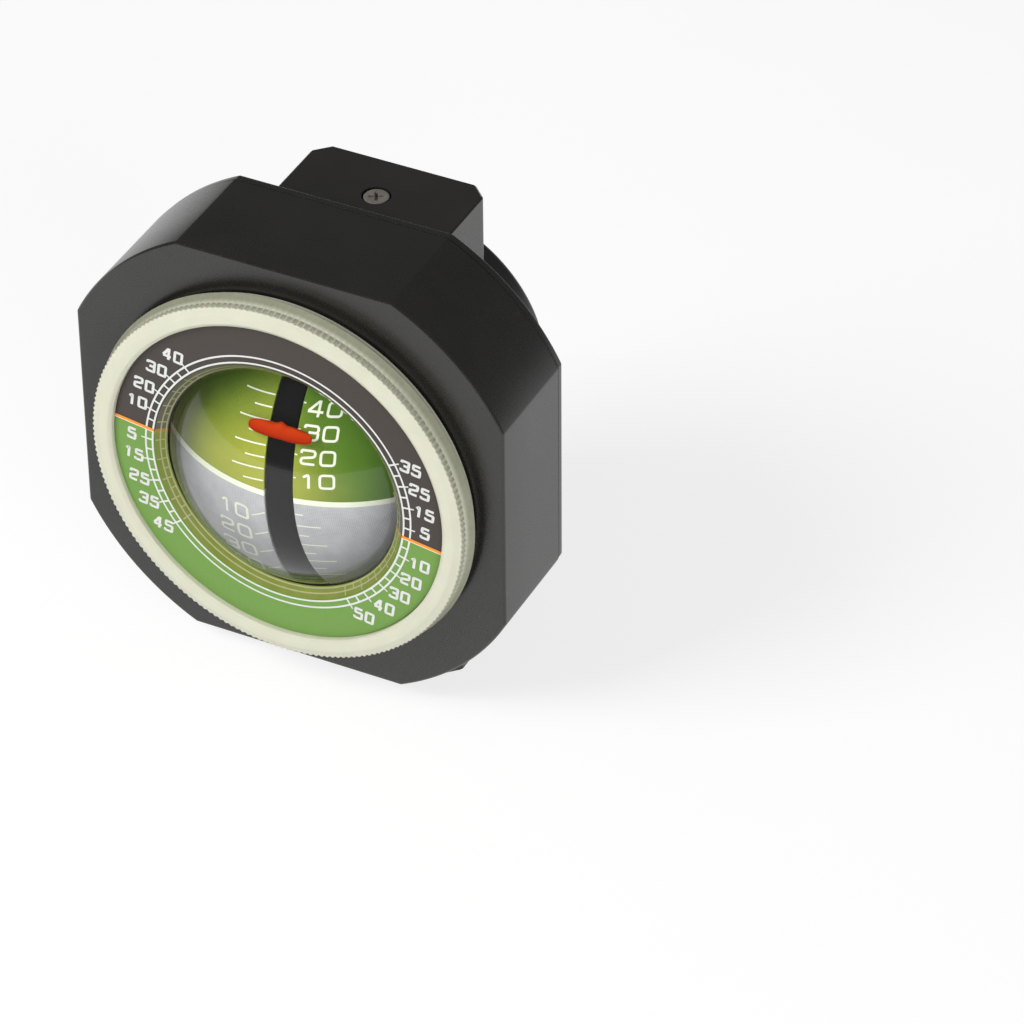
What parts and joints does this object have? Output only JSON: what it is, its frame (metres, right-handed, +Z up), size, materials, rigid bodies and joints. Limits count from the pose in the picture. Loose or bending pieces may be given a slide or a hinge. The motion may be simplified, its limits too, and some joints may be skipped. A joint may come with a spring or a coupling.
{
  "type": "ball inclinometer",
  "caption": "Ball inclinometer on a tilting base: pitching and rolling two-colour ball with a pointer behind a clear dome, in a knurled turning bezel with an angle scale.",
  "frame": {"origin": "middle of the base plate's underside", "axes": "+Z up, -Y the way the dial looks, +X to the right as seen from the front"},
  "size_m": [0.07, 0.0531, 0.073],
  "materials": {
    "housing": "satin",
    "bezel": "satin",
    "dial": "satin",
    "window": "polished",
    "card": "satin",
    "black_parts": "satin",
    "pointer": "satin",
    "steel": "satin",
    "brass": "satin",
    "weight": "matte",
    "rubber": "matte"
  },
  "bodies": {
    "base": {"base_plate": "housing", "hinge_bolt": "steel", "hinge_nut": "steel", "hinge_washer_left": "rubber", "hinge_washer_right": "rubber"},
    "head": {"housing_shell": "housing", "rear_cover": "housing", "case_screw_1": "steel", "case_screw_2": "steel", "case_screw_3": "steel", "case_screw_4": "steel", "capsule_cup": "housing", "cup_screw_1": "steel", "cup_screw_2": "steel", "cup_screw_3": "steel", "dome_window": "window", "dome_gasket": "rubber", "dome_retainer": "black_parts", "friction_ring": "rubber", "fill_plug": "steel", "roll_bush": "brass", "upper_block": "housing", "upper_block_screw": "steel"},
    "bezel": {"bezel_ring": "bezel", "dial_ring": "dial"},
    "gimbal": {"roll_frame": "black_parts", "roll_shaft": "steel", "pitch_bush": "brass"},
    "ball": {"ball_left": "card", "ball_right": "card", "ballast_left": "weight", "ballast_right": "weight", "pitch_axle": "steel", "axle_clip_left": "steel", "axle_clip_right": "steel"},
    "pointer": {"pointer_arm": "black_parts", "pitch_pointer": "pointer"}
  },
  "joints": [
    {"name": "head_tilt", "type": "hinge", "parent": "base", "child": "head", "pos_m": [0, 0.0061, 0.009], "axis": [-1, 0, 0], "range_deg": [0, 30]},
    {"name": "bezel_turn", "type": "hinge", "parent": "head", "child": "bezel", "pos_m": [0, -0.0255, 0.038], "axis": [0, 1, 0], "continuous": true},
    {"name": "ball_roll", "type": "hinge", "parent": "head", "child": "gimbal", "pos_m": [0, -0.0041, 0.038], "axis": [0, 1, 0], "continuous": true},
    {"name": "ball_pitch", "type": "hinge", "parent": "gimbal", "child": "ball", "pos_m": [0, -0.0041, 0.038], "axis": [1, 0, 0], "range_deg": [-45.8, 34.2]},
    {"name": "pointer_swing", "type": "hinge", "parent": "gimbal", "child": "pointer", "pos_m": [0, -0.0041, 0.038], "axis": [1, 0, 0], "range_deg": [-9.4, 50.6]}
  ]
}
